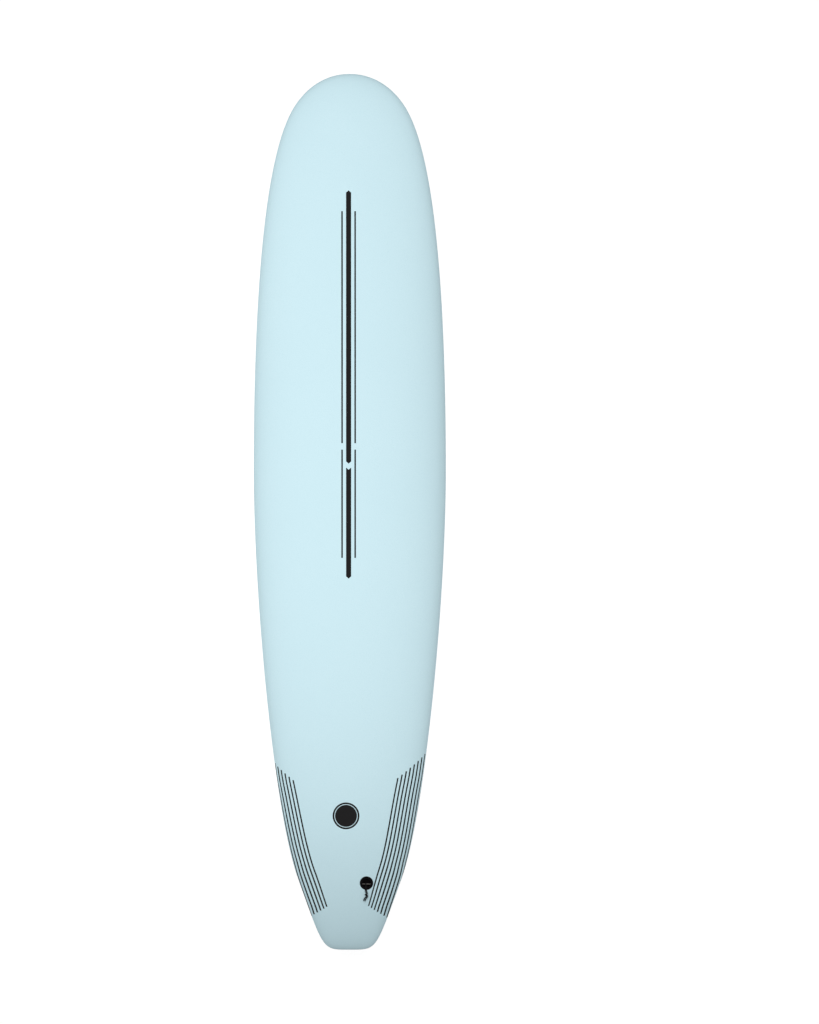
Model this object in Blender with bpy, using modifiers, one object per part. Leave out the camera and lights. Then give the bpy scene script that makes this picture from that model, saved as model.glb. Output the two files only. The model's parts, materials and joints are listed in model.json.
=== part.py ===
"""A soft-top longboard of 9 ft: a foam deck skin and a slick bottom skin over a foam core with
three wooden stringers, three fin boxes with their grub screws, and a leash plug with its string.

Metres. +Y runs to the nose, +Z up from the belly, and the board lies deck up on its flat belly."""

import math

import bmesh
import bpy
from mathutils import Matrix, Vector
from mathutils.bvhtree import BVHTree
from mathutils.geometry import interpolate_bezier

# Outline
LENGTH = 2.743
HALF_LENGTH = LENGTH / 2
HALF_WIDTH = 0.3015
# Knots of the right rim in plan, nose tip to tail tip: half width, distance from the nose tip,
# degrees that the rim opens outward from straight aft, and the handle before and after the knot
RIM_KNOTS = (
    (0.0, 0.0, 90.0, 0.0, 0.089),
    (0.180, 0.113, 29.7, 0.0645, 0.195),
    (HALF_WIDTH, 1.238, 0.0, 0.465, 0.401),
    (0.162, 2.522, -19.9, 0.226, 0.242),
    (0.0, LENGTH, -90.0, 0.087, 0.0),
)
RIM_STEPS = (8, 10, 12, 9)
RIB_FAN = 0.17  # the outermost ribs start this far inside the tips

# Rocker and foil
NOSE_ROCKER = 0.114
TAIL_ROCKER = 0.070
ROCKER_POWER = 2.3
BELLY_FLAT_FROM, BELLY_FLAT_TO = -0.25, 0.15
THICKNESS = 0.086
NOSE_TIP_THICKNESS = 0.040
TAIL_TIP_THICKNESS = 0.034
FOIL_POWER = 2.4

# Cross-section: shares of the thickness or of the half width
RAIL_APEX = 0.38
DECK_CROWN = 0.20
DECK_POWER = 5.5
BOTTOM_FLAT = 0.5
BOTTOM_POWER = 6.0
DECK_ANGLES = (0, 2, 14, 28, 42, 55, 67, 79, 90)
TUCK_STEPS = 2  # rows from the rail's apex down to the seam
BOTTOM_STEPS = 3  # rows from the seam to where the bottom turns flat
SEAM_INSET = 0.010  # the slick starts this far inside the rim, in plan

# Skins, core and the space between touching pieces
UP = Vector((0.0, 0.0, 1.0))
GAP = 0.0003
CORE_GAP = 0.0004
OVERLAP = 0.001  # how far pieces to be joined reach into each other
ABOVE = 0.010  # how far a cutter stands out of the surface it cuts
BEYOND_RAIL = 0.4  # farther from the centreline than any rail
DECK_SKIN = 0.005
BOTTOM_SKIN = 0.0035
STRINGER_THICKNESS = 0.004
STRINGER_OFFSET = 0.095

# Fin boxes: outer face on the bottom skin, long side fore and aft
BOX_LENGTH, BOX_WIDTH, BOX_FLANGE = 0.144, 0.034, 0.0035
BOX_CORNER = 0.010
BOX_BODY_LENGTH, BOX_BODY_WIDTH, BOX_DEPTH = 0.118, 0.026, 0.0185
CUP_LENGTH, CUP_CORNER = 0.046, 0.006
KEEL_WIDTH, KEEL_DEPTH = 0.006, 0.013
BOX_RIBS = (-0.007, 0.007)
BOX_RIB_THICKNESS = 0.003
TAB_SPACING = 0.068
TAB_LENGTH, TAB_WIDTH, TAB_DEPTH = 0.017, 0.007, 0.0155
SOCKET_CORNER = 0.001
SIDE_BOX_X = 0.146
SIDE_BOX_Y = -1.000
CENTRE_BOX_Y = -1.2045
TOE_IN = math.radians(1.45)
INSERT_MARGIN = 0.006
INSERT_DEPTH = 0.0225

# Grub screws, M5, backed off from the tab
SCREW_RADIUS = 0.0025
SCREW_LENGTH = 0.008
SCREW_SIDES = 16
SCREW_SUNK = 0.001
SCREW_HOLE_RADIUS = SCREW_RADIUS + GAP
SCREW_HOLE_DEPTH = 0.0135
SCREW_LEAN = math.radians(20)
SCREW_X = 0.0095
KEY_ACROSS_FLATS = 0.0025
KEY_DEPTH = 0.0035

# Leash plug and its pin
PLUG_X, PLUG_Y = 0.0525, -1.1625
PLUG_RADIUS = 0.021
PLUG_CUP_RADIUS = 0.0165
PLUG_BORE_RADIUS = 0.0138
PLUG_DEPTH = 0.021
PLUG_FLOOR = 0.0025
PLUG_SOFT_EDGE = 0.0012
GROOVE_TOP, GROOVE_FOOT = 0.0125, 0.0175
GROOVE_DEPTH, GROOVE_SLOPE = 0.0015, 0.001
PLUG_SIDES = 24
PLUG_INSERT_RADIUS = 0.026
PLUG_INSERT_DEPTH = 0.024
PIN_RADIUS = 0.0025
PIN_DROP = 0.0085
PIN_AFT = 0.003
PIN_LENGTH = 0.030
PIN_PLACE = Matrix.Translation((0.0, -PIN_AFT, -PIN_DROP)) @ Matrix.Rotation(math.pi / 2, 4, "Y")

# Leash string, in the plug's own frame: a thin cord doubled over the pin. Its two legs go out side
# by side over the rim, the right one takes a hitch round the left one, and both tails stand just
# off the deck. PAIR_OUT and PAIR_TAILS are the middle between the legs
STRING_RADIUS = 0.0015
STRAND_SPACING, TAIL_SPACING = 0.0035, 0.0039
TURN_RADIUS = PIN_RADIUS + STRING_RADIUS + 0.0006
TURN_FROM, TURN_TO = math.radians(60), math.radians(-156)
TURN_STEPS = 4
LEFT_LEG_IN_CUP = ((-0.0026, -0.0072, -0.0011), (-0.0034, -0.0128, 0.0016))
RIGHT_LEG_IN_CUP = ((0.0008, -0.0113, -0.0016), (0.0001, -0.0133, 0.0018))
PAIR_OUT = (
    (-0.0018, -0.0178, 0.0023),
    (-0.0016, -0.0240, 0.0025),
    (-0.0004, -0.0290, 0.0038),
)
HITCHED_LEG = ((-0.0009, -0.0337, 0.0054), (-0.0006, -0.0388, 0.0056))
HITCH_FROM, HITCH_TO = math.radians(25), math.radians(335)
HITCH_RADIUS = 0.0036
HITCH_STEPS = 6
PAIR_TAILS = (
    (0.0010, -0.0424, 0.0051),
    (-0.0022, -0.0459, 0.0045),
    (-0.0046, -0.0491, 0.0043),
    (-0.0062, -0.0525, 0.0044),
    (-0.0071, -0.0560, 0.0046),
)
STRING_STEPS = 2  # from each point of the route to the next

DECK_AQUA = (0.60, 0.82, 0.88, 1.0)
SLICK_WHITE = (0.88, 0.88, 0.87, 1.0)
FOAM_WHITE = (0.90, 0.90, 0.88, 1.0)
PLYWOOD = (0.62, 0.43, 0.24, 1.0)
INSERT_FOAM = (0.78, 0.70, 0.50, 1.0)
BLACK_NYLON = (0.018, 0.018, 0.019, 1.0)
STAINLESS = (0.62, 0.62, 0.60, 1.0)
BLACK_CORD = (0.012, 0.012, 0.013, 1.0)


def clear_scene():
    for obj in list(bpy.data.objects):
        bpy.data.objects.remove(obj, do_unlink=True)


def new_collection(name):
    collection = bpy.data.collections.new(name)
    bpy.context.scene.collection.children.link(collection)
    return collection


def material(name, colour, roughness, metallic=0.0):
    made = bpy.data.materials.new(name)
    made.use_nodes = True
    made.diffuse_color = colour
    shader = made.node_tree.nodes["Principled BSDF"]
    shader.inputs["Base Color"].default_value = colour
    shader.inputs["Roughness"].default_value = roughness
    shader.inputs["Metallic"].default_value = metallic
    return made


def to_mesh(shape, name):
    mesh = bpy.data.meshes.new(name)
    shape.to_mesh(mesh)
    shape.free()
    return mesh


def add_part(name, mesh, finish, place=None):
    """An object of the board, smooth except along its real edges."""
    part = bpy.data.objects.new(name, mesh)
    parts.objects.link(part)
    if not mesh.materials:
        mesh.materials.append(finish)
        mesh.shade_smooth()
        mesh.set_sharp_from_angle(angle=math.radians(35))
    if place is not None:
        part.matrix_world = place
    return part


def add_cutter(name, mesh, place=None):
    cutter = bpy.data.objects.new(name, mesh)
    cutters.objects.link(cutter)
    cutter.hide_render = True
    cutter.display_type = "WIRE"
    if place is not None:
        cutter.matrix_world = place
    return cutter


def boolean(part, operation, *others):
    for other in others:
        cut = part.modifiers.new(f"{operation.lower()} {other.name}", "BOOLEAN")
        cut.operation = operation
        cut.object = other


def evaluated_mesh(part, name):
    """The part's mesh with its modifiers applied."""
    bpy.context.view_layer.update()
    graph = bpy.context.evaluated_depsgraph_get()
    mesh = bpy.data.meshes.new_from_object(part.evaluated_get(graph))
    mesh.name = name
    return mesh


def block(size, centre, corner=0.0, segments=4):
    """A box whose upright edges are rounded to the corner radius."""
    shape = bmesh.new()
    bmesh.ops.create_cube(shape, size=1.0)
    bmesh.ops.scale(shape, vec=size, verts=shape.verts)
    if corner:
        upright = [e for e in shape.edges if abs(e.verts[0].co.z - e.verts[1].co.z) > size[2] / 2]
        bmesh.ops.bevel(
            shape, geom=upright, offset=corner, segments=segments, profile=0.5, affect="EDGES"
        )
    bmesh.ops.translate(shape, vec=centre, verts=shape.verts)
    return shape


def rod(radius, length, sides):
    shape = bmesh.new()
    bmesh.ops.create_cone(
        shape,
        cap_ends=True,
        segments=sides,
        radius1=radius,
        radius2=radius,
        depth=length,
    )
    return shape


def rim():
    """Points of the right rim in plan, nose tip to tail tip."""
    points = [Vector((0.0, HALF_LENGTH, 0.0))]
    for near, far, steps in zip(RIM_KNOTS, RIM_KNOTS[1:], RIM_STEPS):
        ends, ways = [], []
        for half_width, from_nose, opening, _, _ in (near, far):
            angle = math.radians(opening)
            ends.append(Vector((half_width, HALF_LENGTH - from_nose, 0.0)))
            ways.append(Vector((math.sin(angle), -math.cos(angle), 0.0)))
        leaving = ends[0] + ways[0] * near[4]
        arriving = ends[1] - ways[1] * far[3]
        points += interpolate_bezier(ends[0], leaving, arriving, ends[1], steps + 1)[1:]
    return points


def spine_y(rim_y):
    """Where a rib leaves the centreline: level with its rim point amidships, fanned at the tips."""
    share = min(abs(rim_y) / HALF_LENGTH, 1.0)
    fan = RIB_FAN * share**6 * (1 + 1.5 * math.sqrt(1 - share))
    return rim_y - math.copysign(fan, rim_y)


def rocker(y):
    if y > BELLY_FLAT_TO:
        return NOSE_ROCKER * ((y - BELLY_FLAT_TO) / (HALF_LENGTH - BELLY_FLAT_TO)) ** ROCKER_POWER
    if y < BELLY_FLAT_FROM:
        return TAIL_ROCKER * ((BELLY_FLAT_FROM - y) / (BELLY_FLAT_FROM + HALF_LENGTH)) ** ROCKER_POWER
    return 0.0


def thickness(y):
    tip = NOSE_TIP_THICKNESS if y > 0 else TAIL_TIP_THICKNESS
    return THICKNESS - (THICKNESS - tip) * (abs(y) / HALF_LENGTH) ** FOIL_POWER


def deck_point(start, edge, angle):
    """A point of the deck, from 0 on the centreline to 90 degrees at the rail's apex."""
    share = math.sin(angle) ** (2 / DECK_POWER)
    point = start.lerp(edge, share)
    rise = (1 - DECK_CROWN) * math.cos(angle) + DECK_CROWN * (1 - share**2)
    point.z = rocker(point.y) + thickness(point.y) * (RAIL_APEX + (1 - RAIL_APEX) * rise)
    return point


def bottom_point(start, edge, angle):
    """A point of the bottom, from 0 where it turns flat to 90 degrees at the rail's apex."""
    share = BOTTOM_FLAT + (1 - BOTTOM_FLAT) * math.sin(angle) ** (2 / BOTTOM_POWER)
    point = start.lerp(edge, share)
    point.z = rocker(point.y) + thickness(point.y) * RAIL_APEX * (1 - math.cos(angle))
    return point


def rib(edge):
    """The half section through one rim point, down the deck, round the rail and along the bottom."""
    start = Vector((0.0, spine_y(edge.y), 0.0))
    seam_share = 1 - SEAM_INSET / (edge - start).length
    tucked = (seam_share - BOTTOM_FLAT) / (1 - BOTTOM_FLAT)
    seam = math.asin(tucked ** (BOTTOM_POWER / 2))
    quarter = math.pi / 2
    points = [deck_point(start, edge, math.radians(angle)) for angle in DECK_ANGLES]
    for step in range(1, TUCK_STEPS + 1):
        angle = quarter + (seam - quarter) * step / TUCK_STEPS
        points.append(bottom_point(start, edge, angle))
    for step in range(1, BOTTOM_STEPS + 1):
        points.append(bottom_point(start, edge, seam * (1 - step / BOTTOM_STEPS)))
    points.append(Vector((start.x, start.y, rocker(start.y))))
    return points


SEAM_ROW = len(DECK_ANGLES) + TUCK_STEPS - 1


def loft(strips):
    """A surface through equally long strips of points."""
    shape = bmesh.new()
    rows = [[shape.verts.new(point) for point in strip] for strip in strips]
    for fore, aft in zip(rows, rows[1:]):
        for k in range(len(fore) - 1):
            shape.faces.new((fore[k], aft[k], aft[k + 1], fore[k + 1]))
    return shape


def outer_surface():
    """The ribs of the right half, nose to tail, and the outward direction at each of their points."""
    ribs = [rib(edge) for edge in rim()]
    shape = loft(ribs)
    shape.normal_update()
    across = len(ribs[0])
    outward = []
    for number, vertex in enumerate(shape.verts):
        direction = vertex.normal.copy()
        if abs(vertex.co.x) < GAP:
            direction.x = 0.0
        if number % across == 0:
            outward.append([])
        outward[-1].append(direction.normalized())
    shape.free()
    return ribs, outward


def sunk(ribs, outward, depth, rows):
    """The surface's rows moved inward by a depth."""
    return [
        [points[k] - ways[k] * depth for k in rows] for points, ways in zip(ribs, outward)
    ]


def mirrored(part):
    mirror = part.modifiers.new("left half", "MIRROR")
    mirror.use_axis[0] = True
    mirror.merge_threshold = 0.00001
    return part


def half_shape(strips):
    """A lofted half, flattened onto the centre plane where it meets its mirror image."""
    shape = loft(strips)
    for vertex in shape.verts:
        if abs(vertex.co.x) < GAP:
            vertex.co.x = 0.0
    return shape


def deck_skin_mesh(ribs, outward):
    rows = range(SEAM_ROW + 1)
    outside = sunk(ribs, outward, 0.0, rows)
    inside = sunk(ribs, outward, DECK_SKIN, rows[::-1])
    return to_mesh(half_shape([a + b for a, b in zip(outside, inside)]), "deck_skin")


def bottom_skin_mesh(ribs, outward):
    """The slick starts a gap below the deck skin's edge and runs in to the centreline."""
    rows = range(SEAM_ROW, len(ribs[0]))
    started = [list(points) for points in ribs]
    for points in started:
        along = (points[SEAM_ROW + 1] - points[SEAM_ROW]).normalized()
        points[SEAM_ROW] = points[SEAM_ROW] + along * GAP
    outside = sunk(started, outward, 0.0, rows)
    inside = sunk(started, outward, BOTTOM_SKIN, rows[::-1])
    return to_mesh(half_shape([a + b for a, b in zip(inside, outside)]), "bottom_skin")


def core_mesh(ribs, outward):
    """The whole shaped blank under both skins."""
    deck_rows = range(SEAM_ROW + 1)
    bottom_rows = range(SEAM_ROW + 1, len(ribs[0]))
    over = sunk(ribs, outward, DECK_SKIN + CORE_GAP, deck_rows)
    under = sunk(ribs, outward, BOTTOM_SKIN + CORE_GAP, bottom_rows)
    return to_mesh(half_shape([a + b for a, b in zip(over, under)]), "core")


def frame_on(surface, x, y, side, reach_x, reach_y, turn=0.0):
    """A frame on the surface with Z outward and Y to the nose, level with the points at its reach.
    side is 1 on the deck and -1 on the bottom."""
    above = Vector((0.0, 0.0, side))

    def hit(offset_x, offset_y):
        origin = Vector((x + offset_x, y + offset_y, 0.0)) + above
        return surface.ray_cast(origin, -above)[0]

    fore = (hit(0.0, reach_y) - hit(0.0, -reach_y)).normalized()
    across = hit(reach_x, 0.0) - hit(-reach_x, 0.0)
    outward = across.cross(fore).normalized() * side
    place = Matrix((fore.cross(outward), fore, outward)).transposed().to_4x4()
    place.translation = (hit(0.0, reach_y) + hit(0.0, -reach_y)) / 2
    return place @ Matrix.Rotation(turn, 4, "Z")


def whole_surface(ribs):
    shape = loft(ribs)
    everything = shape.verts[:] + shape.edges[:] + shape.faces[:]
    bmesh.ops.mirror(shape, geom=everything, axis="X", merge_dist=0.00001)
    tree = BVHTree.FromBMesh(shape)
    shape.free()
    return tree


def turned_mesh(name, profile, sides):
    """A profile in the XZ plane spun round Z."""
    shape = bmesh.new()
    corners = [shape.verts.new((x, 0.0, z)) for x, z in profile]
    for upper, lower in zip(corners, corners[1:]):
        shape.edges.new((upper, lower))
    blank = bpy.data.objects.new(name, to_mesh(shape, name))
    cutters.objects.link(blank)
    spin = blank.modifiers.new("turning", "SCREW")
    spin.axis = "Z"
    spin.steps = sides
    spin.render_steps = sides
    spin.use_merge_vertices = True
    spin.merge_threshold = 0.00001
    mesh = evaluated_mesh(blank, name)
    bpy.data.objects.remove(blank)
    return mesh


def cut_mesh(name, mesh, joined=(), removed=()):
    """The mesh with some shapes joined to it and then others removed from it."""
    blank = bpy.data.objects.new(name, mesh)
    cutters.objects.link(blank)
    helpers = [add_cutter(f"{name} join", shape) for shape in joined]
    boolean(blank, "UNION", *helpers)
    tools = [add_cutter(f"{name} cut", shape, place) for shape, place in removed]
    boolean(blank, "DIFFERENCE", *tools)
    made = evaluated_mesh(blank, name)
    for obj in [blank, *helpers, *tools]:
        bpy.data.objects.remove(obj)
    return made


def screw_frame(end):
    """The grub screw's axis in a box's frame, Z out of the box, beside the front or the rear tab."""
    mouth = Matrix.Translation((SCREW_X, end * TAB_SPACING / 2, 0.0))
    return mouth @ Matrix.Rotation(SCREW_LEAN, 4, "Y")


def fin_box_mesh():
    """One moulding: a flange, a cup round each tab socket, and a keel and ribs that join them."""
    cup_size = (BOX_BODY_WIDTH, CUP_LENGTH, BOX_DEPTH - OVERLAP)
    keel_size = (KEEL_WIDTH, TAB_SPACING, KEEL_DEPTH - OVERLAP)
    rib_size = (BOX_BODY_WIDTH - 2 * CUP_CORNER, BOX_RIB_THICKNESS, KEEL_DEPTH - OVERLAP)
    socket_size = (TAB_WIDTH, TAB_LENGTH, TAB_DEPTH + ABOVE)
    flange = block((BOX_WIDTH, BOX_LENGTH, BOX_FLANGE), (0, 0, -BOX_FLANGE / 2), BOX_CORNER)
    joined = [block(keel_size, (0, 0, -(KEEL_DEPTH + OVERLAP) / 2))]
    joined += [block(rib_size, (0, y, -(KEEL_DEPTH + OVERLAP) / 2)) for y in BOX_RIBS]
    removed = []
    for end in (1, -1):
        y = end * TAB_SPACING / 2
        joined.append(block(cup_size, (0, y, -(BOX_DEPTH + OVERLAP) / 2), CUP_CORNER, 3))
        socket = block(socket_size, (0, y, (ABOVE - TAB_DEPTH) / 2), SOCKET_CORNER, 2)
        removed.append((to_mesh(socket, "tab socket"), Matrix()))
        hole = rod(SCREW_HOLE_RADIUS, SCREW_HOLE_DEPTH * 2, SCREW_SIDES)
        removed.append((to_mesh(hole, "screw hole"), screw_frame(end)))
    joined = [to_mesh(shape, "box body") for shape in joined]
    return cut_mesh("fin box", to_mesh(flange, "flange"), joined, removed)


def grub_screw_mesh():
    """A headless screw with a chamfered point and a hex socket in its outer end."""
    chamfer = SCREW_RADIUS / 5
    point = SCREW_RADIUS / 2
    top = -SCREW_SUNK
    foot = top - SCREW_LENGTH
    profile = (
        (0.0, top),
        (SCREW_RADIUS - chamfer, top),
        (SCREW_RADIUS, top - chamfer),
        (SCREW_RADIUS, foot + point),
        (point, foot),
        (0.0, foot),
    )
    key = rod(KEY_ACROSS_FLATS / math.sqrt(3), KEY_DEPTH * 2, 6)
    removed = [(to_mesh(key, "hex key"), Matrix.Translation((0.0, 0.0, top)))]
    return cut_mesh("grub screw", turned_mesh("screw blank", profile, SCREW_SIDES), (), removed)


def leash_plug_mesh():
    """A turned cup with a flange level with the deck, a groove to hold it, and holes for its pin."""
    soft = PLUG_SOFT_EDGE
    under = -DECK_SKIN
    groove = PLUG_CUP_RADIUS - GROOVE_DEPTH
    profile = (
        (0.0, PLUG_FLOOR - PLUG_DEPTH),
        (PLUG_BORE_RADIUS - soft, PLUG_FLOOR - PLUG_DEPTH),
        (PLUG_BORE_RADIUS, PLUG_FLOOR - PLUG_DEPTH + soft),
        (PLUG_BORE_RADIUS, -soft),
        (PLUG_BORE_RADIUS + soft, 0.0),
        (PLUG_RADIUS - soft, 0.0),
        (PLUG_RADIUS, -soft),
        (PLUG_RADIUS, under),
        (PLUG_CUP_RADIUS, under),
        (PLUG_CUP_RADIUS, -GROOVE_TOP),
        (groove, -GROOVE_TOP - GROOVE_SLOPE),
        (groove, -GROOVE_FOOT + GROOVE_SLOPE),
        (PLUG_CUP_RADIUS, -GROOVE_FOOT),
        (PLUG_CUP_RADIUS, -PLUG_DEPTH),
        (0.0, -PLUG_DEPTH),
    )
    cup = turned_mesh("plug blank", profile, PLUG_SIDES)
    hole = rod(PIN_RADIUS + GAP, PLUG_RADIUS * 2, SCREW_SIDES)
    return cut_mesh("leash plug", cup, (), [(to_mesh(hole, "pin hole"), PIN_PLACE)])


def strand_beside(middles, shift):
    """The middles of the pair, moved along the deck onto one of its two strands."""
    middles = [Vector(middle) for middle in middles]
    behind = [middles[0], *middles]
    ahead = [*middles[1:], middles[-1]]
    strand = []
    for middle, near, far in zip(middles, behind, ahead):
        strand.append(middle + UP.cross(far - near).normalized() * shift)
    return strand


def turn_round_pin():
    """From the left leg over the pin's top, down before the pin, under it and up behind it."""
    points = []
    for step in range(TURN_STEPS + 1):
        share = step / TURN_STEPS
        angle = TURN_FROM + (TURN_TO - TURN_FROM) * share
        across = STRAND_SPACING * (share - 0.5)
        aft = TURN_RADIUS * math.cos(angle) - PIN_AFT
        points.append(Vector((across, aft, TURN_RADIUS * math.sin(angle) - PIN_DROP)))
    return points


def hitch():
    """The right leg's single turn over, round and under the left leg."""
    near, far = (Vector(point) for point in HITCHED_LEG)
    way = (far - near).normalized()
    side = UP.cross(way).normalized()
    lift = way.cross(side)
    points = []
    for step in range(HITCH_STEPS + 1):
        share = step / HITCH_STEPS
        angle = HITCH_FROM + (HITCH_TO - HITCH_FROM) * share
        around = side * math.cos(angle) + lift * math.sin(angle)
        points.append(near.lerp(far, share) + around * HITCH_RADIUS)
    return points


def string_points(place):
    """The route as one smooth curve of short steps, in world coordinates."""
    left_leg = [*LEFT_LEG_IN_CUP, *strand_beside(PAIR_OUT, -STRAND_SPACING / 2), *HITCHED_LEG]
    tails = (HITCHED_LEG[1], *PAIR_TAILS)
    left_leg += strand_beside(tails, -TAIL_SPACING / 2)[1:]
    right_leg = [*RIGHT_LEG_IN_CUP, *strand_beside(PAIR_OUT, STRAND_SPACING / 2), *hitch()]
    right_leg += strand_beside(tails, TAIL_SPACING / 2)[1:]
    route = [*reversed(left_leg), *turn_round_pin(), *right_leg]
    route = [place @ Vector(point) for point in route]
    ends = [route[0] * 2 - route[1], *route, route[-1] * 2 - route[-2]]
    points = []
    for before, near, far, after in zip(ends, ends[1:], ends[2:], ends[3:]):
        leaving = near + (far - before) / 6
        arriving = far - (after - near) / 6
        points += interpolate_bezier(near, leaving, arriving, far, STRING_STEPS + 1)[:-1]
    return [*points, route[-1]]


def leash_string(place):
    curve = bpy.data.curves.new("leash_string", "CURVE")
    curve.dimensions = "3D"
    curve.bevel_depth = STRING_RADIUS
    curve.bevel_resolution = 2
    curve.use_fill_caps = True
    points = string_points(place)
    spline = curve.splines.new("POLY")
    spline.points.add(len(points) - 1)
    for knot, point in zip(spline.points, points):
        knot.co = (*point, 1.0)
    curve.materials.append(cord_black)
    string = bpy.data.objects.new("leash_string", curve)
    parts.objects.link(string)
    return string


def box_cutters(name, place):
    """What a fin box takes out of the slick, of the blank and of its own insert."""
    grown = 2 * GAP
    top = ABOVE
    mouth_size = (BOX_WIDTH + grown, BOX_LENGTH + grown)
    mouth = block((*mouth_size, 2 * top), (0, 0, 0), BOX_CORNER)
    seat_depth = BOX_FLANGE + CORE_GAP
    seat = block((*mouth_size, seat_depth + top), (0, 0, (top - seat_depth) / 2), BOX_CORNER)
    space_size = (BOX_WIDTH + 2 * INSERT_MARGIN, BOX_LENGTH + 2 * INSERT_MARGIN)
    space = block((*space_size, INSERT_DEPTH + top), (0, 0, (top - INSERT_DEPTH) / 2))
    insert_size = (space_size[0] - grown, space_size[1] - grown)
    insert_depth = INSERT_DEPTH - GAP
    insert = block((*insert_size, insert_depth + top), (0, 0, (top - insert_depth) / 2))
    pocket_depth = BOX_DEPTH + CORE_GAP
    pocket_size = (BOX_BODY_WIDTH + grown, BOX_BODY_LENGTH + grown, pocket_depth + top)
    pocket = block(pocket_size, (0, 0, (top - pocket_depth) / 2), CUP_CORNER)
    shapes = {"mouth": mouth, "seat": seat, "space": space, "insert": insert, "pocket": pocket}
    return {
        key: add_cutter(f"{name} {key}", to_mesh(shape, key), place)
        for key, shape in shapes.items()
    }


def plug_cutters(place):
    """What the leash plug takes out of the deck skin, of the blank and of its own insert."""
    sizes = {
        "mouth": (PLUG_RADIUS + GAP, ABOVE),
        "seat": (PLUG_RADIUS + GAP, DECK_SKIN + CORE_GAP),
        "space": (PLUG_INSERT_RADIUS, PLUG_INSERT_DEPTH),
        "insert": (PLUG_INSERT_RADIUS - GAP, PLUG_INSERT_DEPTH - GAP),
        "pocket": (PLUG_CUP_RADIUS + GAP, PLUG_DEPTH + CORE_GAP),
    }
    made = {}
    for key, (radius, depth) in sizes.items():
        centre = Matrix.Translation((0.0, 0.0, (ABOVE - depth) / 2))
        shape = rod(radius, depth + ABOVE, PLUG_SIDES)
        made[key] = add_cutter(f"leash plug {key}", to_mesh(shape, key), place @ centre)
    return made


def slab(name, low, high):
    """An upright slice of the board between two distances from the centreline."""
    shape = block((high - low, 2 * LENGTH, LENGTH), ((low + high) / 2, 0.0, 0.0))
    return add_cutter(f"{name} slice", to_mesh(shape, name))


def blank_part(name, finish, core, *keep, without=()):
    """A piece of the shaped blank: the part of it inside each cutter in keep."""
    part = mirrored(add_part(name, core.copy(), finish))
    boolean(part, "INTERSECT", *keep)
    boolean(part, "DIFFERENCE", *without)
    return part


clear_scene()
parts = new_collection("soft_top_surfboard")
cutters = new_collection("cutters")

deck_foam = material("deck foam", DECK_AQUA, 0.62)
slick = material("slick bottom", SLICK_WHITE, 0.22)
core_foam = material("core foam", FOAM_WHITE, 0.85)
plywood = material("plywood", PLYWOOD, 0.60)
insert_foam = material("dense insert foam", INSERT_FOAM, 0.70)
nylon_black = material("black nylon", BLACK_NYLON, 0.38)
stainless = material("stainless steel", STAINLESS, 0.25, 1.0)
cord_black = material("black cord", BLACK_CORD, 0.80)

ribs, outward = outer_surface()
surface = whole_surface(ribs)

box_x, box_y = BOX_WIDTH / 2, BOX_LENGTH / 2
box_places = {
    "centre": frame_on(surface, 0.0, CENTRE_BOX_Y, -1, box_x, box_y),
    "right": frame_on(surface, SIDE_BOX_X, SIDE_BOX_Y, -1, box_x, box_y, -TOE_IN),
    "left": frame_on(surface, -SIDE_BOX_X, SIDE_BOX_Y, -1, box_x, box_y, TOE_IN),
}
plug_place = frame_on(surface, PLUG_X, PLUG_Y, 1, PLUG_RADIUS, PLUG_RADIUS)
box_cuts = {side: box_cutters(f"fin box {side}", place) for side, place in box_places.items()}
plug_cuts = plug_cutters(plug_place)

deck_skin = mirrored(add_part("deck_skin", deck_skin_mesh(ribs, outward), deck_foam))
boolean(deck_skin, "DIFFERENCE", plug_cuts["mouth"])
bottom_skin = mirrored(add_part("bottom_skin", bottom_skin_mesh(ribs, outward), slick))
boolean(bottom_skin, "DIFFERENCE", *(cuts["mouth"] for cuts in box_cuts.values()))

core = core_mesh(ribs, outward)
inner = STRINGER_THICKNESS / 2
outer_from = STRINGER_OFFSET - inner
outer_to = STRINGER_OFFSET + inner
slices = {
    "core_plank_outer_right": (outer_to + GAP, BEYOND_RAIL, core_foam, ("right",)),
    "stringer_right": (outer_from, outer_to, plywood, ()),
    "core_plank_inner_right": (inner + GAP, outer_from - GAP, core_foam, ("centre", "plug")),
    "stringer_centre": (-inner, inner, plywood, ("centre",)),
    "core_plank_inner_left": (GAP - outer_from, -inner - GAP, core_foam, ("centre",)),
    "stringer_left": (-outer_to, -outer_from, plywood, ()),
    "core_plank_outer_left": (-BEYOND_RAIL, -outer_to - GAP, core_foam, ("left",)),
}
spaces = {side: cuts["space"] for side, cuts in box_cuts.items()} | {"plug": plug_cuts["space"]}
for name, (low, high, finish, holes) in slices.items():
    without = [spaces[hole] for hole in holes]
    blank_part(name, finish, core, slab(name, low, high), without=without)
for side, cuts in box_cuts.items():
    routed = (cuts["seat"], cuts["pocket"])
    blank_part(f"fin_insert_{side}", insert_foam, core, cuts["insert"], without=routed)
routed = (plug_cuts["seat"], plug_cuts["pocket"])
blank_part("leash_insert", insert_foam, core, plug_cuts["insert"], without=routed)

box_mesh = fin_box_mesh()
screw_mesh = grub_screw_mesh()
for side, place in box_places.items():
    add_part(f"fin_box_{side}", box_mesh, nylon_black, place)
    for end, label in ((1, "front"), (-1, "rear")):
        name = f"grub_screw_{side}_{label}"
        add_part(name, screw_mesh, stainless, place @ screw_frame(end))

add_part("leash_plug", leash_plug_mesh(), nylon_black, plug_place)
pin_shape = rod(PIN_RADIUS, PIN_LENGTH, SCREW_SIDES)
add_part("leash_pin", to_mesh(pin_shape, "leash_pin"), stainless, plug_place @ PIN_PLACE)
leash_string(plug_place)
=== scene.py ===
"""A soft-top longboard, deck up, seen from straight above."""

import json
import math

import bmesh
import bpy
from mathutils import Matrix, Vector
from mathutils.geometry import interpolate_bezier


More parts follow.
